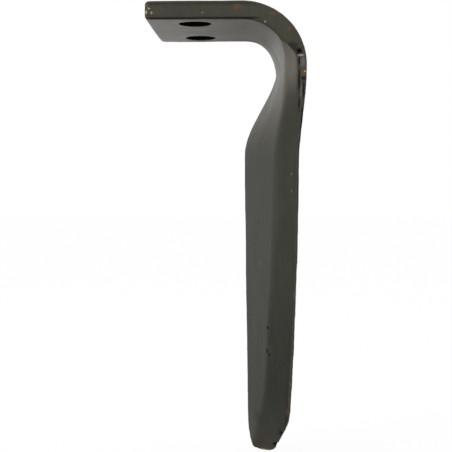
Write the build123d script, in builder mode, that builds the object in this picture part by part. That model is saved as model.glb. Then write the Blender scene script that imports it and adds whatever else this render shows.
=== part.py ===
from build123d import *

import math
import os

# Rotary harrow tine, one forging from flat spring steel, in millimetres.
# The origin is midway between the two bolt holes on the flange's mounting face.
# +Z points up out of that face, +X from the flange's free end to the blade,
# and the leading, bevelled edge of the blade is on the -Y side.

# Bar
bar_width = 100.0
bar_thickness = 12.0
tine_height = 300.0

# Flange
holes_to_flange_end = 31.0
holes_to_blade_back = 72.0
bolt_hole_diameter = 20.5
bolt_hole_spacing = 60.0
bolt_hole_rim = 0.6
flange_corner_radius = 3.0
flange_end_rounding = 1.6
flange_end_skew_degrees = 0.6
flange_end_step_degrees = 15.0

# Bend
bend_inner_radius = 29.2
bend_step_degrees = 3.0

# Neck: how far each edge is set in from the line of the bend, and where along the bar
trailing_bend_set = 6.0
trailing_bend_set_start = 7.0
trailing_bend_set_length = 32.0
trailing_neck_set = 24.0
trailing_neck_set_start = 34.0
trailing_neck_set_length = 64.0
leading_neck_set = 5.0
leading_neck_set_start = 48.0
leading_neck_set_length = 63.0
neck_step = 3.0

# Blade outline
leading_sweep_start_depth = 75.0
leading_sweep_radius = 950.0
trailing_taper_start_depth = 112.0
trailing_taper = 0.062
blade_step = 12.0

# Tip outline
crop_angle_degrees = 35.0
crop_foot = 11.5
crop_corner_ease = 2.4
tip_corner_radius = 22.0
tip_corner_to_axis = 19.0
tip_facet_angle_degrees = 18.0
tip_wear_radius = 2.0
tip_wear_degrees = 75.0
tip_wear_step_degrees = 15.0
tip_wear_overrun = 0.2
tip_step = 3.0

# Leading edge bevel
broken_edge = 1.5
bevel_run_out_start = 27.5
bevel_run_out_length = 15.0
bevel_head_width = 24.0
bevel_head_length = 32.0
bevel_width = 10.0
upper_land = 6.0
lower_land = 2.0
tip_land = 3.0
land_thinning_start = 58.0
land_thinning_length = 30.0
ridge_start_depth = 118.0
ridge_lean = 0.209
ridge_tip_height = 23.0
ridge_tip_lean = 0.8
ridge_tip_to_trailing_side = 43.5
ridge_ease = 1.5

# Edge rounding
bar_edge_radius = 1.5
trailing_edge_radius = 2.2
upper_ridge_radius = 20.0
lower_ridge_radius = 4.5
rounding_share = 0.48

# Sizes that follow from the ones above
half_width = bar_width / 2
bend_length = bend_inner_radius * math.pi / 2
bend_centre_x = holes_to_blade_back - bar_thickness - bend_inner_radius
flange_end_skew = math.radians(flange_end_skew_degrees)
flange_end_run = bar_width * math.tan(flange_end_skew)
flange_length = bend_centre_x + holes_to_flange_end - 2 * (flange_corner_radius + flange_end_run)
bend_centre_z = -bar_thickness - bend_inner_radius
crop_run = 1 / math.tan(math.radians(crop_angle_degrees))


def eased(start, length, position):
    """Rise smoothly from 0 at start to 1 at start + length."""
    share = min(max((position - start) / length, 0.0), 1.0)
    return share * share * (3 - 2 * share)


def rounded_max(first, second, ease):
    """The larger of two values, with the corner between them eased."""
    return (first + second) / 2 + math.hypot((first - second) / 2, ease)


def depth_of(position):
    """Depth below the mounting face at a position along the inner face, past the bend."""
    return position - bend_length - bend_centre_z


def station(position):
    """Plane across the bar at a position along its inner face, 0 where the bend starts."""
    angle = min(max(position / bend_inner_radius, 0.0), math.pi / 2)
    straight_on = min(position, 0.0)
    straight_down = max(position - bend_length, 0.0)
    return Plane(
        origin=(
            bend_centre_x + bend_inner_radius * math.sin(angle) + straight_on,
            0,
            bend_centre_z + bend_inner_radius * math.cos(angle) - straight_down,
        ),
        x_dir=(0, 1, 0),
        z_dir=(math.cos(angle), 0, -math.sin(angle)),
    )


def flange_end_station(inward):
    """Plane across the flange's sheared end, which is a little out of square."""
    return Plane(
        origin=(inward - holes_to_flange_end + flange_end_run / 2, 0, -bar_thickness),
        x_dir=(math.sin(flange_end_skew), math.cos(flange_end_skew), 0),
        z_dir=(math.cos(flange_end_skew), -math.sin(flange_end_skew), 0),
    )


def leading_edge(position):
    """Place of the leading edge across the width: a long sweep, then the cropped corner."""
    depth = depth_of(position)
    swept = max(depth - leading_sweep_start_depth, 0.0)
    sweep = leading_sweep_radius - math.sqrt(leading_sweep_radius**2 - swept**2)
    crop = crop_foot - crop_run * (tine_height - depth)
    return rounded_max(-half_width + sweep, crop, crop_corner_ease)


def trailing_edge(position):
    """Place of the trailing edge across the width: straight, then a slight taper."""
    return half_width - trailing_taper * max(depth_of(position) - trailing_taper_start_depth, 0.0)


def ridge(position):
    """Place of the ridge between the bevel and the blade's inner face."""
    depth = depth_of(position)
    run_out = eased(bevel_run_out_start, bevel_run_out_length, position)
    head_left = 1 - eased(bevel_run_out_start + bevel_run_out_length, bevel_head_length, position)
    width = bevel_width + (bevel_head_width - bevel_width) * head_left
    upper = -half_width + broken_edge + (width - broken_edge) * run_out
    middle = -half_width + bevel_width + ridge_lean * (depth - ridge_start_depth)
    past_tip_turn = depth - (tine_height - ridge_tip_height)
    lower = half_width - ridge_tip_to_trailing_side + ridge_tip_lean * past_tip_turn
    return rounded_max(rounded_max(upper, middle, run_out * ridge_ease), lower, run_out * ridge_ease)


def land(position):
    """Thickness left on the leading edge outside the bevel."""
    run_out = eased(bevel_run_out_start, bevel_run_out_length, position)
    thinning = eased(land_thinning_start, land_thinning_length, position)
    wear = eased(ridge_start_depth, tine_height - ridge_start_depth, depth_of(position))
    full = bar_thickness - broken_edge
    forged = full - (full - upper_land) * run_out - (upper_land - lower_land) * thinning
    return forged + (tip_land - lower_land) * wear


def fitted(corners, radii):
    """Roundings of an outline's corners, each limited by the sides that it has to share."""
    limited = []
    for index, radius in enumerate(radii):
        corner = Vector(*corners[index])
        before = Vector(*corners[index - 1]) - corner
        after = Vector(*corners[(index + 1) % len(corners)]) - corner
        half_turn = math.radians(180 - before.get_angle(after)) / 2
        room = rounding_share * min(before.length, after.length)
        limited.append(min(radius, room / math.tan(half_turn)))
    return limited


def bar_profile(position, side_inset=0.0, face_inset=0.0):
    """Corners of the bar's five-cornered section at a position along it, and their rounding."""
    leading_set = leading_neck_set * eased(leading_neck_set_start, leading_neck_set_length, position)
    trailing_set = trailing_bend_set * eased(
        trailing_bend_set_start, trailing_bend_set_length, position
    ) + trailing_neck_set * eased(trailing_neck_set_start, trailing_neck_set_length, position)
    twist = (trailing_set - leading_set) / bar_width
    thickness = bar_thickness * math.hypot(1, twist)

    def inner(across):
        return -leading_set - twist * (across + half_width)

    lead, trail, crest = leading_edge(position), trailing_edge(position), ridge(position)
    lower = eased(ridge_start_depth, tine_height - ridge_start_depth, depth_of(position))
    run_out = eased(bevel_run_out_start, bevel_run_out_length, position)
    crest_radius = broken_edge + (upper_ridge_radius - broken_edge) * run_out
    crest_radius += (lower_ridge_radius - upper_ridge_radius) * lower
    lead, trail, crest = lead + side_inset, trail - side_inset, crest + side_inset
    corners = [
        (lead, inner(lead) + thickness - face_inset),
        (lead, inner(lead) + thickness - land(position) + face_inset),
        (crest, inner(crest) + face_inset),
        (trail, inner(trail) + face_inset),
        (trail, inner(trail) + thickness - face_inset),
    ]
    radii = [
        bar_edge_radius,
        bar_edge_radius,
        crest_radius,
        trailing_edge_radius,
        trailing_edge_radius,
    ]
    return corners, fitted(corners, radii)


def steps(start, stop, longest):
    """Evenly spaced positions from start to stop, no further apart than longest."""
    count = math.ceil((stop - start) / longest)
    return [start + (stop - start) * index / count for index in range(count + 1)]


blade_twist = (trailing_bend_set + trailing_neck_set - leading_neck_set) / bar_width
blade_plane = Plane(
    origin=(
        holes_to_blade_back
        - bar_thickness
        - leading_neck_set
        - blade_twist * half_width
        + bar_thickness * math.hypot(1, blade_twist) / 2,
        0,
        -tine_height,
    ),
    x_dir=(-blade_twist, 1, 0),
    z_dir=(1, blade_twist, 0),
)
tip_wear = math.radians(tip_wear_degrees)
tip_core = bar_thickness / 2 + tip_wear_overrun - tip_wear_radius * math.sin(tip_wear)

# Sections along the bar: the flange's rounded end, then bend, neck, blade and tip
flange_end_sections = [(station(-flange_length), bar_profile(0))]
for turn in steps(0, math.pi / 2, math.radians(flange_end_step_degrees)):
    left = 1 - math.cos(turn)
    flange_end_sections.append(
        (
            flange_end_station(flange_corner_radius * (1 - math.sin(turn))),
            bar_profile(0, flange_corner_radius * left, flange_end_rounding * left),
        )
    )

bend_step = bend_inner_radius * math.radians(bend_step_degrees)
neck_end = leading_neck_set_start + leading_neck_set_length
tip_end = tine_height + bend_centre_z + bend_length + tip_step
tip_start = tip_end - 2 * tip_corner_radius
positions = (
    steps(0, bend_length, bend_step)
    + steps(bend_length, neck_end, neck_step)[1:]
    + steps(neck_end, tip_start, blade_step)[1:]
    + steps(tip_start, tip_end, tip_step)[1:]
)
blade_sections = [(station(position), bar_profile(position)) for position in positions]

# Waste outside the tip's worn foot and trailing corner, in the plane of the blade
with BuildSketch() as tip_waste:
    Rectangle(2 * bar_width, 4 * tip_corner_radius)
    with BuildLine(mode=Mode.PRIVATE) as tip_outline:
        corner = CenterArc(
            (tip_corner_to_axis, tip_corner_radius),
            tip_corner_radius,
            270 - tip_facet_angle_degrees,
            90 + tip_facet_angle_degrees,
        )
        facet = PolarLine(corner @ 0, bar_width, 180 - tip_facet_angle_degrees)
        Polyline(
            corner @ 1,
            (2 * bar_width, tip_corner_radius),
            (2 * bar_width, 3 * tip_corner_radius),
            ((facet @ 1).X, 3 * tip_corner_radius),
            facet @ 1,
        )
    make_face(tip_outline.edges(), mode=Mode.SUBTRACT)

with BuildPart() as tine:
    # Flat of the flange
    corners, radii = bar_profile(0)
    with BuildSketch(station(0)):
        with BuildLine():
            FilletPolyline(corners, radius=radii, close=True)
        make_face()
    extrude(amount=-flange_length)
    # The flange's end, and everything past it, each from its run of sections
    for sections in (flange_end_sections, blade_sections):
        for plane, (corners, radii) in sections:
            with BuildSketch(plane):
                with BuildLine():
                    FilletPolyline(corners, radius=radii, close=True)
                make_face()
        loft(ruled=True)
    # Bolt holes across the flange, with a broken rim on the bolt heads' side
    with Locations(Location((0, 0, -bar_thickness), (180, 0, 0))):
        with GridLocations(0, bolt_hole_spacing, 1, 2):
            CounterSinkHole(
                bolt_hole_diameter / 2,
                bolt_hole_diameter / 2 + bolt_hole_rim,
                counter_sink_angle=90,
            )
    # Worn tip, cut through the middle of the thickness and rounded off towards both faces
    with BuildSketch(blade_plane):
        add(tip_waste.sketch_local)
    extrude(amount=tip_core, both=True, mode=Mode.SUBTRACT)
    for side in (1, -1):
        for turn in steps(0, tip_wear, math.radians(tip_wear_step_degrees)):
            with BuildSketch(blade_plane.offset(side * (tip_core + tip_wear_radius * math.sin(turn)))):
                add(tip_waste.sketch_local)
                if turn > 0:
                    offset(amount=tip_wear_radius * (1 - math.cos(turn)), kind=Kind.INTERSECTION)
        loft(ruled=True, mode=Mode.SUBTRACT)

tine.part.label = "tine"
os.makedirs("parts", exist_ok=True)
export_step(tine.part, "parts/tine.step")
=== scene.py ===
"""Looks of a rotary harrow tine: one forging of spring steel flat, hardened and oil-blackened.

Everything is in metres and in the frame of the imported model. The origin is midway between the
bolt holes on the flange's mounting face, +Z points up out of that face, +X towards the blade,
and the bevelled leading edge of the blade is on the -Y side.
"""

import functools
import logging
import math
from dataclasses import dataclass
from enum import Enum
from typing import Any

import bpy
import numpy as np
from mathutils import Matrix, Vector


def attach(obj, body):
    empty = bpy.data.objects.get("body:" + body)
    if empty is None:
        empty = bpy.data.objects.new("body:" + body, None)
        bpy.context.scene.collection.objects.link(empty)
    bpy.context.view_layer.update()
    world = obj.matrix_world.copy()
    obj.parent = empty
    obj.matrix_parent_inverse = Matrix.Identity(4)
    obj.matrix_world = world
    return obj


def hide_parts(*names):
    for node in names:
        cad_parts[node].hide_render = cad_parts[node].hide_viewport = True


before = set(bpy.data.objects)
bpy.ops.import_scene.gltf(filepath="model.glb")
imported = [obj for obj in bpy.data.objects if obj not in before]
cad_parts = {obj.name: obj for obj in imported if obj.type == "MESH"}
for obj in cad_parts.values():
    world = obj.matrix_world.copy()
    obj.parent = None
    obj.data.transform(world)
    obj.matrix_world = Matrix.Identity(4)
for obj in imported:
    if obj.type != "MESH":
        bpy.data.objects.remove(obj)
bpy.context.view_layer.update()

LOG = logging.getLogger("harrow_tine")
MM = 0.001
PIXELS = 452
SENSOR_MM = 36.0
HOLE_RADIUS = 10.25 * MM
HOLE_OFFSET = 30 * MM

Colour = tuple[float, float, float]
Triple = tuple[float, float, float]


def srgb(red: int, green: int, blue: int) -> Colour:
    """Turn a colour in everyday 0 to 255 steps into the linear values that a shader takes.

    Args:
        red: Red from 0 to 255.
        green: Green from 0 to 255.
        blue: Blue from 0 to 255.

    Returns:
        The linear red, green and blue, each from 0 to 1.
    """
    linear = []
    for step in (red, green, blue):
        value = step / 255
        linear.append(value / 12.92 if value <= 0.04045 else ((value + 0.055) / 1.055) ** 2.4)
    return linear[0], linear[1], linear[2]


class Axis(Enum):
    """A direction of the frame."""

    X = 0
    Y = 1
    Z = 2


class Value:
    """A shader socket that can be used in arithmetic, each step adding one Math node."""

    def __init__(self, nodes: "NodeBench", socket: Any) -> None:
        """Wrap a socket.

        Args:
            nodes: The bench that adds new nodes.
            socket: An output socket that carries one number.
        """
        self.nodes = nodes
        self.socket = socket

    def _math(self, operation: str, first: Any, second: Any = None, clamp: bool = False) -> "Value":
        """Add a Math node and return its result."""
        inputs = {0: first} if second is None else {0: first, 1: second}
        settings = {"operation": operation, "use_clamp": clamp}
        return self.nodes.value("ShaderNodeMath", settings, inputs)

    def __add__(self, other: Any) -> "Value":
        """Sum."""
        return self._math("ADD", self, other)

    def __radd__(self, other: Any) -> "Value":
        """Sum, with the number first."""
        return self._math("ADD", other, self)

    def __sub__(self, other: Any) -> "Value":
        """Difference."""
        return self._math("SUBTRACT", self, other)

    def __rsub__(self, other: Any) -> "Value":
        """Difference, with the number first."""
        return self._math("SUBTRACT", other, self)

    def __mul__(self, other: Any) -> "Value":
        """Product."""
        return self._math("MULTIPLY", self, other)

    def __rmul__(self, other: Any) -> "Value":
        """Product, with the number first."""
        return self._math("MULTIPLY", other, self)

    def __truediv__(self, other: Any) -> "Value":
        """Quotient."""
        return self._math("DIVIDE", self, other)

    def larger(self, other: Any) -> "Value":
        """The larger of the two."""
        return self._math("MAXIMUM", self, other)

    def smaller(self, other: Any) -> "Value":
        """The smaller of the two."""
        return self._math("MINIMUM", self, other)

    def size(self) -> "Value":
        """The value without its sign."""
        return self._math("ABSOLUTE", self)

    def root(self) -> "Value":
        """The square root."""
        return self._math("SQRT", self)

    def clamped(self) -> "Value":
        """The value held between 0 and 1."""
        return self._math("ADD", self, 0.0, clamp=True)

    def between(self, low: float, high: float) -> "Value":
        """A smooth step from 0 at low to 1 at high.

        Args:
            low: Where the step starts.
            high: Where it ends, which may be below low for a falling step.

        Returns:
            The step, from 0 to 1.
        """
        settings = {"interpolation_type": "SMOOTHSTEP"}
        inputs = {"Value": self, "From Min": low, "From Max": high}
        return self.nodes.value("ShaderNodeMapRange", settings, inputs)


class NodeBench:
    """Builds the nodes of one material or world."""

    def __init__(self, owner: Any, output: str) -> None:
        """Start with only the output node.

        Args:
            owner: The new material or world.
            output: The type of its output node.
        """
        self.owner = owner
        owner.use_nodes = True
        self.tree = owner.node_tree
        self.tree.nodes.clear()
        self.output = self.tree.nodes.new(output)

    @classmethod
    def for_material(cls, name: str) -> "NodeBench":
        """A bench for a new material of this name."""
        return cls(bpy.data.materials.new(name), "ShaderNodeOutputMaterial")

    def node(self, kind: str, settings: dict[str, Any], inputs: dict[Any, Any]) -> Any:
        """Add a node.

        Args:
            kind: The node's type.
            settings: Its own settings, set first. "stops" fills a colour ramp.
            inputs: Values or links of its sockets, by name or number.

        Returns:
            The node.
        """
        made = self.tree.nodes.new(kind)
        for key, value in settings.items():
            if key == "stops":
                self._fill_ramp(made.color_ramp, value)
            else:
                setattr(made, key, value)
        for key, value in inputs.items():
            if isinstance(value, Value):
                self.tree.links.new(value.socket, made.inputs[key])
            elif isinstance(value, bpy.types.NodeSocket):
                self.tree.links.new(value, made.inputs[key])
            elif isinstance(value, tuple) and len(value) == 3 and made.inputs[key].type == "RGBA":
                made.inputs[key].default_value = (*value, 1.0)
            else:
                made.inputs[key].default_value = value
        return made

    @staticmethod
    def _fill_ramp(ramp: Any, stops: list[tuple[float, float]]) -> None:
        """Give a ramp its stops, as places and grey levels."""
        while len(ramp.elements) < len(stops):
            ramp.elements.new(1.0)
        for element, (place, level) in zip(ramp.elements, stops):
            element.position = place
            element.color = (level, level, level, 1.0)

    def value(self, kind: str, settings: dict[str, Any], inputs: dict[Any, Any]) -> Value:
        """Add a node and wrap its first output for arithmetic."""
        return Value(self, self.node(kind, settings, inputs).outputs[0])

    def place(self) -> Any:
        """The surface point in the piece's own coordinates, which are the frame's."""
        return self.node("ShaderNodeTexCoord", {}, {}).outputs["Object"]

    def along(self, point: Any, axis: Axis) -> Value:
        """One coordinate of a point."""
        split = self.node("ShaderNodeSeparateXYZ", {}, {0: point})
        return Value(self, split.outputs[axis.value])

    def stretched(self, point: Any, scale: Triple) -> Any:
        """The point with its axes scaled, for a pattern that runs one way."""
        mapping = self.node("ShaderNodeMapping", {}, {"Vector": point, "Scale": scale})
        return mapping.outputs["Vector"]

    def noise(self, point: Any, size: float, detail: float = 3.0, roughness: float = 0.55) -> Value:
        """Cloudy noise from 0 to 1.

        Args:
            point: Where it is read.
            size: Size of its largest blotches, in metres.
            detail: Octaves of finer noise.
            roughness: Strength of the finer octaves.

        Returns:
            The noise.
        """
        inputs = {"Vector": point, "Scale": 1 / size, "Detail": detail, "Roughness": roughness}
        return self.value("ShaderNodeTexNoise", {}, inputs)

    def ragged(self, point: Any, size: float, depth: float) -> Any:
        """The point pushed about by noise, so that an edge drawn from it is uneven.

        Args:
            point: The point.
            size: Size of the unevenness along the edge, in metres.
            depth: How far the edge strays, in metres.

        Returns:
            The moved point.
        """
        inputs = {"Vector": point, "Scale": 1 / size, "Detail": 2.0, "Roughness": 0.6}
        noise = self.node("ShaderNodeTexNoise", {}, inputs).outputs["Color"]
        centred = self.vector("SUBTRACT", noise, (0.5, 0.5, 0.5))
        return self.vector("ADD", point, self.vector("MULTIPLY", centred, (2 * depth,) * 3))

    def vector(self, operation: str, first: Any, second: Any) -> Any:
        """The result of a Vector Math node on two vectors."""
        node = self.node("ShaderNodeVectorMath", {"operation": operation}, {0: first, 1: second})
        return node.outputs["Vector"]

    def length(self, vector: Any) -> Value:
        """The length of a vector."""
        node = self.node("ShaderNodeVectorMath", {"operation": "LENGTH"}, {0: vector})
        return Value(self, node.outputs["Value"])

    def spot(self, point: Any, place: Triple, reach: Triple) -> Value:
        """An ellipsoid's cover: 1 well inside it and 0 outside.

        Args:
            point: Where it is read.
            place: The ellipsoid's middle, in metres.
            reach: Its three half sizes, in metres.

        Returns:
            The cover, from 0 to 1.
        """
        away = self.vector("DIVIDE", self.vector("SUBTRACT", point, place), reach)
        return self.length(away).between(1.25, 0.45)

    def attribute(self, name: str) -> Value:
        """A number that the mesh stores at each vertex."""
        node = self.node("ShaderNodeAttribute", {"attribute_name": name}, {})
        return Value(self, node.outputs["Fac"])

    def facing(self, name: str) -> dict[Axis, Value]:
        """The parts of a direction that the mesh stores at each vertex, by axis."""
        node = self.node("ShaderNodeAttribute", {"attribute_name": name}, {})
        return {axis: self.along(node.outputs["Vector"], axis) for axis in Axis}

    def mixed(self, first: Any, second: Any, share: Any) -> Any:
        """A colour between two.

        Args:
            first: Colour or colour socket at share 0.
            second: Colour or colour socket at share 1.
            share: The share, as a number or value.

        Returns:
            The mixed colour's socket.
        """
        settings = {"data_type": "RGBA", "clamp_factor": True}
        return self.node("ShaderNodeMix", settings, {0: share, 6: first, 7: second}).outputs[2]

    def bumped(self, height: Value, depth: float) -> Any:
        """A normal bent by a height that runs from 0 to 1, depth metres deep."""
        inputs = {"Strength": 1.0, "Distance": depth, "Height": height}
        return self.node("ShaderNodeBump", {}, inputs).outputs["Normal"]

    def surface(self, shader: Any) -> Any:
        """Link the finished shader to the output and return the material or world."""
        self.tree.links.new(shader, self.output.inputs["Surface"])
        return self.owner

    def to_the_eye(self) -> Value:
        """1 for light that comes straight, mirrored or through glass to the camera, else 0."""
        path = self.node("ShaderNodeLightPath", {}, {})
        seen = Value(self, path.outputs["Is Camera Ray"])
        seen = seen.larger(Value(self, path.outputs["Is Glossy Ray"]))
        return seen.larger(Value(self, path.outputs["Is Transmission Ray"]))


@dataclass(frozen=True)
class Coat:
    """How one part of the surface looks: its colour and how rough it is."""

    colour: Any
    roughness: Any

    def under(self, nodes: "NodeBench", top: "Coat", share: Any) -> "Coat":
        """Lay another coat over this one.

        Args:
            nodes: The bench that adds the nodes.
            top: The coat that goes on top.
            share: How much of it covers, from 0 to 1.

        Returns:
            What is seen of both.
        """
        colour = nodes.mixed(self.colour, top.colour, share)
        return Coat(colour, self.roughness + (top.roughness - self.roughness) * share)


class Stain(Enum):
    """What a mark on the steel is coloured by."""

    BLACK = "black scale"
    CREAM = "bare chip"
    RUST = "rust"
    BARE = "heat-tinted steel"
    SMEAR = "dark oil"


@dataclass(frozen=True)
class Mark:
    """One dent, chip, fleck or smear on the steel, as an ellipsoid around a place on it.

    Place and reach are in millimetres of the frame. The depth is how far the surface is pushed
    in, also in millimetres.
    """

    place: Triple
    reach: Triple
    stain: Stain
    share: float
    depth: float = 0.0


MARKS = (
    # Near corner of the flange: chips down to pale metal, and at x -29.7 a painted highlight on the
    # rounded corner.
    Mark((-27.9, -50, -5.0), (0.9, 1.5, 0.6), Stain.CREAM, 0.5),
    Mark((-29.7, -49.4, -7.4), (0.7, 1.4, 1.2), Stain.CREAM, 0.6),
    Mark((-26.3, -50, -7.9), (0.6, 1.5, 0.9), Stain.CREAM, 0.4),
    Mark((-29.2, -49.8, -3.2), (1.6, 1.6, 1.2), Stain.RUST, 0.6),
    # Near side of the flange and of the bend.
    Mark((5.9, -50, -7.8), (0.8, 1.5, 0.5), Stain.CREAM, 0.2),
    Mark((45.7, -50, -13.9), (0.7, 1.2, 0.6), Stain.CREAM, 0.5),
    Mark((28.0, -50, -4.2), (3.2, 1.5, 1.8), Stain.RUST, 0.45),
    Mark((51.0, -50, -8.5), (3.0, 1.5, 1.4), Stain.RUST, 0.35),
    Mark((60.5, -50, -18.5), (1.0, 1.5, 1.8), Stain.RUST, 0.7),
    # The black of the next dent is painted shadow in the pit.
    Mark((66.8, -50, -32.4), (2.2, 2.5, 2.2), Stain.BLACK, 0.95, 0.25),
    Mark((62.5, -50, -29.5), (4.5, 2.0, 3.6), Stain.SMEAR, 0.7),
    # Head of the leading land: a painted highlight as an arc along the edge of the forging step, a
    # sheared facet and a rusty nick.
    Mark((68.0, -50, -34.9), (2.6, 1.4, 0.55), Stain.CREAM, 0.45),
    Mark((69.4, -50, -39.0), (2.4, 1.6, 3.6), Stain.BARE, 0.75, 0.5),
    Mark((66.9, -49.8, -38.6), (0.75, 1.4, 3.6), Stain.BLACK, 0.9, 0.5),
    Mark((70.0, -50, -45.4), (2.0, 1.6, 2.6), Stain.RUST, 0.9, 0.4),
    Mark((70.6, -50, -45.0), (0.75, 1.4, 0.75), Stain.CREAM, 1.0),
    Mark((69.9, -50, -49.2), (1.9, 1.6, 1.5), Stain.BLACK, 0.7, 0.3),
    # Shear marks down the leading land.
    Mark((66.8, -50, -50.5), (0.7, 1.4, 9.0), Stain.BLACK, 0.95, 0.35),
    Mark((66.8, -50, -65.5), (0.6, 1.4, 6.5), Stain.BLACK, 0.8, 0.3),
    Mark((69.7, -50, -56.5), (0.75, 1.4, 7.0), Stain.BLACK, 0.85, 0.35),
    Mark((68.2, -50, -57.5), (0.5, 1.4, 6.0), Stain.BARE, 0.8),
    Mark((68.9, -49.6, -72.0), (0.9, 1.5, 5.0), Stain.BLACK, 0.7, 0.2),
    # The black of the next two dents is painted shadow in a groove along the land's outer edge.
    Mark((68.9, -49.6, -83.0), (1.5, 1.6, 12.0), Stain.BLACK, 0.95, 0.25),
    Mark((67.7, -49.0, -100.0), (1.5, 1.6, 14.0), Stain.BLACK, 0.9, 0.2),
    Mark((66.7, -48.6, -118.0), (1.0, 1.6, 14.0), Stain.BLACK, 0.6),
    # Specks and nicks of the bevel and the blade.
    Mark((64.9, -43.4, -187.0), (0.9, 1.4, 4.5), Stain.BARE, 0.45),
    Mark((62.2, -47.0, -109.5), (0.6, 1.2, 0.9), Stain.CREAM, 0.12),
    Mark((62.2, -46.5, -120.3), (0.6, 1.2, 0.7), Stain.CREAM, 0.1),
    Mark((40.7, 7.3, -140.9), (0.7, 2.4, 0.7), Stain.BLACK, 0.7, 0.2),
    Mark((42.3, 0.8, -168.6), (1.4, 4.0, 1.6), Stain.BARE, 0.12, 0.15),
    Mark((58.0, -32.2, -231.6), (0.9, 1.4, 0.8), Stain.BLACK, 0.5, 0.2),
    # Pitted stretch of the ridge.
    Mark((47.2, -18.4, -210.5), (1.0, 3.0, 1.4), Stain.BLACK, 0.7, 0.4),
    Mark((46.8, -16.8, -226.0), (1.0, 3.0, 1.8), Stain.BLACK, 0.7, 0.4),
    Mark((48.3, -19.2, -228.3), (0.9, 2.0, 1.2), Stain.BLACK, 0.6, 0.35),
    Mark((49.3, -22.6, -207.0), (3.2, 5.0, 11.0), Stain.SMEAR, 0.3, 0.2),
    Mark((48.5, -20.4, -219.0), (1.4, 3.0, 3.5), Stain.SMEAR, 0.6, 0.25),
    # Cropped tip: scuffed land, oily smear, chipped corner and worn end.
    Mark((62.5, -33.0, -250.0), (1.3, 4.0, 16.0), Stain.BARE, 0.15),
    Mark((60.4, -30.2, -264.6), (2.0, 3.0, 3.2), Stain.RUST, 0.25),
    Mark((40.9, 6.4, -275.5), (5.0, 16.0, 5.0), Stain.SMEAR, 0.45, 0.15),
    Mark((56.2, -14.5, -281.5), (1.6, 4.0, 3.2), Stain.BLACK, 0.7, 0.3),
    Mark((53.0, 0.5, -292.0), (2.3, 6.0, 2.3), Stain.BLACK, 0.9, 0.7),
    Mark((45.5, 14.0, -299.6), (4.5, 9.0, 1.1), Stain.CREAM, 0.75),
)


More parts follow.
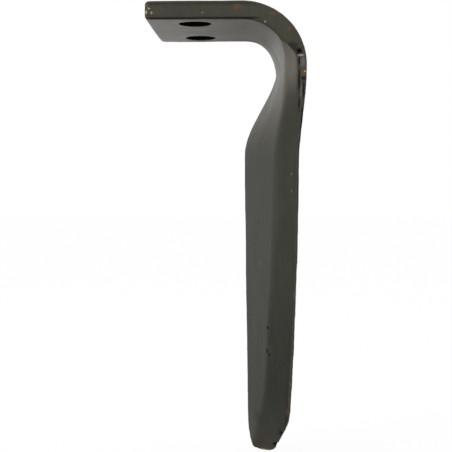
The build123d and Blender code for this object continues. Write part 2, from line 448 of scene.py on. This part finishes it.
@dataclass(frozen=True)
class BlackenedSteel:
    """Finish of the forging: dark olive scale under a film of oil, painted paler over the flange
    and neck as painted sheen, and darker down the blade and on the bevel as painted shade.
    """

    # Painted sheen: the inner coat over the flange, bend and neck is paler than the blade's.
    inner: Coat = Coat(srgb(76, 68, 50), 0.41)
    # Painted shade: the root coat is a slightly darker, rougher copy of the inner coat.
    root: Coat = Coat(srgb(70, 62, 48), 0.54)
    near_side: Coat = Coat(srgb(64, 64, 52), 0.62)
    blade: Coat = Coat(srgb(48, 50, 40), 0.70)
    # Painted shade: the bevel, picked out by which way it faces, is darker than the main face.
    bevel: Coat = Coat(srgb(50, 51, 42), 0.70)
    # Painted shade: the low coat darkens the blade towards the bottom.
    low: Coat = Coat(srgb(29, 31, 21), 0.77)
    tip: Coat = Coat(srgb(50, 42, 33), 0.66)
    scale: Coat = Coat(srgb(50, 40, 27), 0.80)
    # Pale of chips of bare metal and the worn end, also used for the painted highlights at the
    # flange's near corner and the head of the land.
    pale: Coat = Coat(srgb(222, 206, 168), 0.55)
    rust: Coat = Coat(srgb(112, 76, 42), 0.70)
    bare: Coat = Coat(srgb(104, 100, 108), 0.42)
    smear: Coat = Coat(srgb(24, 24, 18), 0.80)
    # Matt black of the scale marks, also used as painted shade in the bolt holes and along the
    # flange's lower edge, and as painted shadow in a pit and a groove.
    black: Colour = srgb(12, 11, 10)
    specular: float = 0.3
    blotch: float = 24 * MM
    grain: float = 1.3 * MM
    drawn_line: float = 4.5 * MM
    sheared_line: float = 2.6 * MM
    drawn_stretch: Triple = (0.12, 1.0, 0.12)
    sheared_stretch: Triple = (1.0, 1.0, 0.1)
    ragged_size: float = 1.4 * MM
    ragged_depth: float = 0.8 * MM
    dust: Colour = (0.30, 0.29, 0.25)
    dust_share: float = 0.3
    bump_depth: float = 0.10 * MM
    near_facing: tuple[float, float] = (-0.86, -0.97)
    shaded_bevel_facing: tuple[float, float] = (-0.34, -0.58)
    blade_heights: tuple[float, float] = (-44 * MM, -106 * MM)
    painted_shade_heights: tuple[float, float] = (-120 * MM, -280 * MM)
    tip_heights: tuple[float, float] = (-270 * MM, -292 * MM)
    strip_heights: tuple[float, float] = (-4.2 * MM, -1.4 * MM)
    root_heights: tuple[float, float] = (-26 * MM, -15 * MM)
    root_reach: tuple[float, float] = (-26 * MM, 34 * MM)
    # Painted shade along the flange's lower edge: its height, waviness and where it ends.
    edge_shade_height: float = -11.3 * MM
    edge_shade_wave: float = 1.4 * MM
    edge_shade_end: tuple[float, float] = (46 * MM, 36 * MM)
    hole_shade: tuple[float, float] = (0.4 * MM, 0.15 * MM)

    def make(self) -> bpy.types.Material:
        """Build the material.

        Returns:
            The material.
        """
        nodes = NodeBench.for_material("blackened_steel")
        point = nodes.place()
        height = nodes.along(point, Axis.Z)
        facing = nodes.facing("facing")
        near = facing[Axis.Y].between(*self.near_facing)
        shaded_bevel = facing[Axis.Y].between(*self.shaded_bevel_facing)
        edge = nodes.attribute("edge_wear")
        clouds = nodes.noise(point, self.blotch, 4.0, 0.6)
        fine = nodes.noise(point, self.grain, 3.0, 0.65)
        drawn = nodes.noise(nodes.stretched(point, self.drawn_stretch), self.drawn_line, 4.0, 0.62)
        across = nodes.stretched(point, self.sheared_stretch)
        sheared = nodes.noise(across, self.sheared_line, 3.0, 0.6)
        lines = drawn + (sheared - drawn) * near

        # These height steps paint light and shade: the paler neck is painted sheen, the darkening
        # down the blade is painted shade.
        blade_share = height.between(*self.blade_heights)
        painted_shade_share = height.between(*self.painted_shade_heights)
        tip_share = height.between(*self.tip_heights)
        coat = self.inner.under(nodes, self.root, self._rougher_shaded_root_share(nodes, point, height))
        coat = coat.under(nodes, self.blade, blade_share)
        # Painted shade on the bevel, chosen by which way it faces, which also takes more of the
        # darkening towards the bottom.
        coat = coat.under(nodes, self.bevel, shaded_bevel * (blade_share * 0.35 + 0.65))
        coat = coat.under(nodes, self.low, painted_shade_share * (shaded_bevel * 0.5 + 0.5))
        outer = facing[Axis.X].between(0.1, 0.5).larger(facing[Axis.Z].between(0.3, 0.7))
        coat = coat.under(nodes, self.near_side, near.larger(outer * 0.85))
        coat = coat.under(nodes, self.tip, tip_share * 0.7)
        broken = fine + clouds * 0.6
        coat = coat.under(nodes, self.scale, self._scale_share(height, edge, near, broken))
        ragged = nodes.ragged(point, self.ragged_size, self.ragged_depth)
        coat = self._stained(nodes, coat, ragged)

        tone = (clouds - 0.5) * 0.45 + (lines - 0.5) * 0.55 + (fine - 0.5) * 0.3
        colour = nodes.mixed(coat.colour, (0.0, 0.0, 0.0), (tone * -1.0).clamped())
        colour = nodes.mixed(colour, self.dust, tone.clamped() * self.dust_share)
        rough = coat.roughness + (clouds - 0.5) * 0.22 + (lines - 0.5) * 0.25 + (fine - 0.5) * 0.2
        relief = fine * 0.55 + lines * 0.45
        steel = nodes.node(
            "ShaderNodeBsdfPrincipled",
            {},
            {
                "Base Color": colour,
                "Roughness": rough.clamped(),
                "Specular IOR Level": self.specular,
                "Normal": nodes.bumped(relief, self.bump_depth),
            },
        )
        # Matt black over the black marks, and as painted shade in the bolt holes and along the
        # flange's lower edge.
        matt = nodes.node("ShaderNodeBsdfDiffuse", {}, {"Color": self.black, "Roughness": 1.0})
        dark = self._black_and_painted_shade_share(nodes, point, ragged, facing[Axis.Y], fine)
        mix = {0: dark.clamped(), 1: steel.outputs[0], 2: matt.outputs[0]}
        return nodes.surface(nodes.node("ShaderNodeMixShader", {}, mix).outputs[0])

    def _rougher_shaded_root_share(self, nodes: NodeBench, point: Any, height: Value) -> Value:
        """Where the underside of the flange turns duller towards the bend: rougher, and painted
        darker there as painted shade.
        """
        along = nodes.along(point, Axis.X).between(*self.root_reach)
        return along * height.between(*self.root_heights)

    def _scale_share(self, height: Value, edge: Value, near: Value, broken: Value) -> Value:
        """Where thin brown scale sits: along the near side's top edge and in flecks on edges."""
        strip = near * height.between(*self.strip_heights) * broken.between(0.5, 0.85)
        flecks = edge.between(0.5, 1.0) * broken.between(0.82, 1.0) * 0.6
        return strip.larger(flecks)

    @staticmethod
    def _marked(nodes: NodeBench, point: Any, stain: Stain) -> Value:
        """How strongly the marks of one kind cover the surface, from 0 to 1."""
        covers = []
        for mark in MARKS:
            if mark.stain is stain:
                place = tuple(part * MM for part in mark.place)
                reach = tuple(part * MM for part in mark.reach)
                covers.append(nodes.spot(point, place, reach) * mark.share)
        return functools.reduce(Value.larger, covers)

    def _stained(self, nodes: NodeBench, coat: Coat, point: Any) -> Coat:
        """Lay the stains of the marks over a coat, each kind with its own colour."""
        kinds = {
            Stain.SMEAR: self.smear,
            Stain.RUST: self.rust,
            Stain.BARE: self.bare,
            Stain.CREAM: self.pale,
        }
        for stain, top in kinds.items():
            coat = coat.under(nodes, top, self._marked(nodes, point, stain))
        return coat

    def _black_and_painted_shade_share(
        self, nodes: NodeBench, point: Any, ragged: Any, sideways: Value, fine: Value
    ) -> Value:
        """Where the matt black goes: the black marks, with painted shadow in a pit and a groove
        among them, and painted shade inside the bolt holes and along the flange's lower edge.
        """
        along = nodes.along(point, Axis.X)
        height = nodes.along(point, Axis.Z)
        aside = nodes.along(point, Axis.Y).size() - HOLE_OFFSET
        across = (along * along + aside * aside).root()
        # Painted shade: the walls of the bolt holes are matt black.
        bore = (across - HOLE_RADIUS).between(*self.hole_shade)
        # Painted shade: a dark line along the rounding of the flange's lower near edge.
        wave = (fine - 0.5) * self.edge_shade_wave
        edge_shade = (height + wave - self.edge_shade_height).size().between(0.75 * MM, 0.25 * MM)
        edge_shade = edge_shade * sideways.between(-0.35, -0.6) * along.between(*self.edge_shade_end) * 0.75
        return bore.larger(edge_shade).larger(self._marked(nodes, ragged, Stain.BLACK))


@dataclass(frozen=True)
class PaleFloor:
    """Plain white floor, bright enough to melt into the surroundings, that keeps a soft shadow."""

    colour: Colour = (0.82, 0.82, 0.82)
    glow: float = 1.03
    glow_share: float = 0.9

    def make(self) -> bpy.types.Material:
        """Build the material.

        Returns:
            The material.
        """
        nodes = NodeBench.for_material("pale_floor")
        matt = nodes.node("ShaderNodeBsdfDiffuse", {}, {"Color": self.colour})
        white = {"Color": (1.0, 1.0, 1.0), "Strength": self.glow}
        glow = nodes.node("ShaderNodeEmission", {}, white)
        share = nodes.to_the_eye() * self.glow_share
        mix = {0: share, 1: matt.outputs[0], 2: glow.outputs[0]}
        return nodes.surface(nodes.node("ShaderNodeMixShader", {}, mix).outputs[0])


def only(*chosen: bpy.types.Object) -> None:
    """Select these objects and nothing else, and make the first one active."""
    bpy.ops.object.select_all(action="DESELECT")
    for piece in chosen:
        piece.select_set(True)
    bpy.context.view_layer.objects.active = chosen[0]


def coordinates(piece: bpy.types.Object) -> np.ndarray:
    """Places of a mesh's vertices, one row each."""
    flat = np.empty(len(piece.data.vertices) * 3, np.float32)
    piece.data.vertices.foreach_get("co", flat)
    return flat.reshape(-1, 3)


def normals(piece: bpy.types.Object) -> np.ndarray:
    """Outward directions of a mesh's vertices, one row each."""
    flat = np.empty(len(piece.data.vertices) * 3, np.float32)
    piece.data.vertices.foreach_get("normal", flat)
    return flat.reshape(-1, 3)


@dataclass
class ForgedTine:
    """The whole tine: flange, bend, neck and blade, with what forging and work left on them."""

    name: str = "forged_tine"
    node: str = "tine"
    body: str = "root"
    slot: str = "forged_steel"
    mesh_size: float = 1.0 * MM
    hole_rim: float = 0.6 * MM
    thickness: float = 12 * MM
    smoothing: int = 5
    ridge_blur: int = 24
    ridge_passes: int = 60
    waviness: float = 0.5 * MM
    waviness_size: float = 34 * MM
    scale_relief: float = 0.16 * MM
    scale_size: float = 3.5 * MM
    edge_reach: int = 14
    edge_full: float = 0.22 * MM
    marks: tuple[Mark, ...] = MARKS

    def build(self, finish: BlackenedSteel) -> bpy.types.Object:
        """Make the piece and seat it on its body.

        Args:
            finish: The steel's finish.

        Returns:
            The finished object.
        """
        tine = self._copy_of_solid()
        self._close_holes(tine)
        self._even_mesh(tine)
        self._soften_ridge(tine)
        self._store_edge_wear(tine)
        self._forge(tine)
        self._strike(tine)
        self._bore_holes(tine)
        only(tine)
        bpy.ops.object.shade_smooth_by_angle(angle=math.radians(40))
        tine.data.materials.clear()
        tine.data.materials.append(finish.make())
        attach(tine, self.body)
        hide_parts(self.node)
        LOG.info("%s: %d faces", tine.name, len(tine.data.polygons))
        return tine

    def _copy_of_solid(self) -> bpy.types.Object:
        """Copy the node's mesh and merge its loose triangles."""
        tine = bpy.data.objects.new(self.name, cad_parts[self.node].data.copy())
        bpy.context.scene.collection.objects.link(tine)
        only(tine)
        bpy.ops.object.mode_set(mode="EDIT")
        bpy.ops.mesh.select_all(action="SELECT")
        bpy.ops.mesh.remove_doubles(threshold=0.002 * MM)
        bpy.ops.mesh.normals_make_consistent(inside=False)
        bpy.ops.object.mode_set(mode="OBJECT")
        return tine

    def _close_holes(self, tine: bpy.types.Object) -> None:
        """Take out the walls of the bolt holes and close the faces over them."""
        bpy.ops.object.mode_set(mode="EDIT")
        bpy.ops.mesh.select_mode(type="FACE")
        bpy.ops.mesh.select_all(action="DESELECT")
        bpy.ops.object.mode_set(mode="OBJECT")
        reach = HOLE_RADIUS + self.hole_rim + 0.05 * MM
        for face in tine.data.polygons:
            wall = abs(face.normal.z) < 0.95 and face.center.z > -self.thickness
            for side in (-1, 1):
                across = math.hypot(face.center.x, face.center.y - side * HOLE_OFFSET)
                face.select = face.select or (wall and across < reach)
        bpy.ops.object.mode_set(mode="EDIT")
        bpy.ops.mesh.delete(type="FACE")
        bpy.ops.mesh.select_all(action="SELECT")
        bpy.ops.mesh.fill_holes(sides=0)
        bpy.ops.mesh.select_all(action="SELECT")
        bpy.ops.mesh.normals_make_consistent(inside=False)
        bpy.ops.object.mode_set(mode="OBJECT")

    def _even_mesh(self, tine: bpy.types.Object) -> None:
        """Give the surface an even mesh that follows the solid, fine enough to be worked."""
        guide = tine.copy()
        guide.data = tine.data.copy()
        bpy.context.scene.collection.objects.link(guide)
        only(tine)
        self._modify(tine, "REMESH", mode="VOXEL", voxel_size=self.mesh_size)
        self._modify(tine, "SHRINKWRAP", target=guide, wrap_method="NEAREST_SURFACEPOINT")
        self._modify(tine, "SMOOTH", factor=0.5, iterations=self.smoothing)
        bpy.data.objects.remove(guide)

    @staticmethod
    def _modify(piece: bpy.types.Object, kind: str, **settings: Any) -> None:
        """Add a modifier with these settings to a piece and apply it."""
        only(piece)
        modifier = piece.modifiers.new(kind.lower(), kind)
        for key, value in settings.items():
            setattr(modifier, key, value)
        bpy.ops.object.modifier_apply(modifier=modifier.name)

    def _smoothed_copy(self, tine: bpy.types.Object, passes: int) -> bpy.types.Object:
        """Copy the piece and smooth the copy this many times over."""
        smooth = tine.copy()
        smooth.data = tine.data.copy()
        bpy.context.scene.collection.objects.link(smooth)
        self._modify(smooth, "SMOOTH", factor=0.5, iterations=passes)
        return smooth

    @staticmethod
    def _weigh(tine: bpy.types.Object, name: str, weights: np.ndarray) -> None:
        """Give the piece a vertex group with these weights, leaving out those near 0."""
        group = tine.vertex_groups.new(name=name)
        for index in np.flatnonzero(weights > 0.01):
            group.add([int(index)], float(weights[index]), "REPLACE")

    def _soften_ridge(self, tine: bpy.types.Object) -> None:
        """Round off the ridge between the main face and the bevel, as forging leaves it."""
        smooth = self._smoothed_copy(tine, self.ridge_blur)
        turned = normals(smooth)
        bpy.data.objects.remove(smooth)
        below_bend = np.clip((-30 * MM - coordinates(tine)[:, 2]) / (20 * MM), 0, 1)
        starts = np.clip((-turned[:, 1] - 0.24) / 0.1, 0, 1)
        band = starts * np.clip((0.66 + turned[:, 1]) / 0.1, 0, 1)
        self._weigh(tine, "ridge", band * below_bend * (turned[:, 0] < 0))
        passes = self.ridge_passes
        self._modify(tine, "SMOOTH", factor=0.5, iterations=passes, vertex_group="ridge")

    def _store_edge_wear(self, tine: bpy.types.Object) -> None:
        """Store where the surface stands out, 1 on a sharp edge, and which way it faces."""
        smooth = self._smoothed_copy(tine, self.edge_reach)
        rise = ((coordinates(tine) - coordinates(smooth)) * normals(tine)).sum(1)
        bpy.data.objects.remove(smooth)
        wear = tine.data.attributes.new("edge_wear", "FLOAT", "POINT")
        wear.data.foreach_set("value", np.clip(rise / self.edge_full, 0, 1).astype(np.float32))
        facing = normals(tine).ravel()
        tine.data.attributes.new("facing", "FLOAT_VECTOR", "POINT")
        tine.data.attributes["facing"].data.foreach_set("vector", facing)

    def _strike(self, tine: bpy.types.Object) -> None:
        """Push the surface in at each mark that has a depth."""
        places = coordinates(tine) / MM
        push = np.zeros(len(places))
        for mark in self.marks:
            reach = np.maximum(mark.reach, 1.2)
            away = np.linalg.norm((places - mark.place) / reach, axis=1)
            push = np.maximum(push, mark.depth * np.clip(1.3 - away, 0, 1))
        deepest = push.max()
        self._weigh(tine, "struck", push / deepest)
        self._modify(tine, "DISPLACE", strength=-deepest * MM, mid_level=0.0, vertex_group="struck")

    def _forge(self, tine: bpy.types.Object) -> None:
        """Push the surface in and out as rolling, forging and scale leave it."""
        for label, size, strength, depth in (
            ("waviness", self.waviness_size, self.waviness, 1),
            ("scale", self.scale_size, self.scale_relief, 3),
        ):
            texture = bpy.data.textures.new(label, "CLOUDS")
            texture.noise_scale = size
            texture.noise_depth = depth
            self._modify(
                tine,
                "DISPLACE",
                texture=texture,
                texture_coords="LOCAL",
                strength=strength,
                mid_level=0.5,
            )

    def _bore_holes(self, tine: bpy.types.Object) -> None:
        """Cut the two bolt holes, each with its broken rim on the lower face."""
        for side in (-1, 1):
            drill = self._drill(side * HOLE_OFFSET)
            self._modify(tine, "BOOLEAN", operation="DIFFERENCE", solver="EXACT", object=drill)
            bpy.data.objects.remove(drill)

    def _drill(self, across: float) -> bpy.types.Object:
        """Make the shape of one bolt hole, flared where it leaves the lower face."""
        over = 4 * MM
        bottom = -self.thickness - over
        bpy.ops.mesh.primitive_cylinder_add(
            vertices=96,
            radius=HOLE_RADIUS,
            depth=over + self.thickness - self.hole_rim,
            location=(0, across, (over - self.thickness + self.hole_rim) / 2),
        )
        drill = bpy.context.active_object
        bpy.ops.object.transform_apply(location=True, rotation=True, scale=True)
        bpy.ops.object.mode_set(mode="EDIT")
        bpy.ops.mesh.select_mode(type="FACE")
        bpy.ops.mesh.select_all(action="DESELECT")
        bpy.ops.object.mode_set(mode="OBJECT")
        for face in drill.data.polygons:
            face.select = face.normal.z < -0.9
        drop = -self.hole_rim - over
        flare = (HOLE_RADIUS + self.hole_rim + over) / HOLE_RADIUS
        bpy.ops.object.mode_set(mode="EDIT")
        bpy.ops.mesh.extrude_region_move(TRANSFORM_OT_translate={"value": (0, 0, drop)})
        bpy.ops.transform.resize(
            value=(flare, flare, 1), center_override=(0, across, bottom)
        )
        bpy.ops.object.mode_set(mode="OBJECT")
        return drill


@dataclass
class Studio:
    """Floor, soft lamp, white surroundings and the camera."""

    floor_height: float = -302 * MM
    floor_side: float = 30.0
    eye: Triple = (46.5 * MM, -740 * MM, -127.9 * MM)
    yaw_degrees: float = 2.132
    pitch_degrees: float = 1.209
    focal_pixels: float = 1092.0
    surroundings: float = 0.8
    lamp_side: float = 1.2
    lamp_watts: float = 6.0
    lamp_place: Triple = (-1.1, -0.5, 0.9)
    lamp_aim: Triple = (0.04, 0.0, -0.15)

    def build(self) -> None:
        """Set up everything around the object."""
        self._floor()
        self._world()
        self._lamp()
        self._camera()

    def _floor(self) -> None:
        """Lay the floor below the tip."""
        bpy.ops.object.select_all(action="DESELECT")
        bpy.ops.mesh.primitive_plane_add(size=self.floor_side, location=(0, 0, self.floor_height))
        floor = bpy.context.active_object
        floor.name = "floor"
        floor.data.materials.append(PaleFloor().make())

    def _world(self) -> None:
        """Make the surroundings softly white, and full white to the camera and in reflections."""
        nodes = NodeBench(bpy.data.worlds.new("white_room"), "ShaderNodeOutputWorld")
        white = (1.0, 1.0, 1.0)
        soft = nodes.node("ShaderNodeBackground", {}, {0: white, 1: self.surroundings})
        full = nodes.node("ShaderNodeBackground", {}, {0: white, 1: 1.0})
        mix = {0: nodes.to_the_eye(), 1: soft.outputs[0], 2: full.outputs[0]}
        shader = nodes.node("ShaderNodeMixShader", {}, mix).outputs[0]
        bpy.context.scene.world = nodes.surface(shader)

    def _lamp(self) -> None:
        """Hang one large soft lamp above and to the left."""
        light = bpy.data.lights.new("soft_lamp", "AREA")
        light.shape = "SQUARE"
        light.size = self.lamp_side
        light.energy = self.lamp_watts
        holder = bpy.data.objects.new("soft_lamp", light)
        holder.location = self.lamp_place
        aim = Vector(self.lamp_aim) - holder.location
        holder.rotation_euler = aim.to_track_quat("-Z", "Y").to_euler()
        bpy.context.scene.collection.objects.link(holder)

    def _camera(self) -> None:
        """Set the camera at the photograph's viewing angle."""
        lens = bpy.data.cameras.new("camera")
        lens.sensor_width = SENSOR_MM
        lens.lens = SENSOR_MM * self.focal_pixels / PIXELS
        lens.clip_start = 0.01
        lens.clip_end = 100.0
        camera = bpy.data.objects.new("camera", lens)
        camera.location = self.eye
        pitch = math.radians(90 - self.pitch_degrees)
        camera.rotation_euler = (pitch, 0.0, math.radians(self.yaw_degrees))
        bpy.context.scene.collection.objects.link(camera)
        bpy.context.scene.camera = camera


def main() -> None:
    """Build the tine and the studio around it."""
    logging.basicConfig(level=logging.INFO, format="%(name)s: %(message)s")
    Studio().build()
    ForgedTine().build(BlackenedSteel())
    bpy.context.scene.view_settings.view_transform = "Standard"


if __name__ == "__main__":
    main()
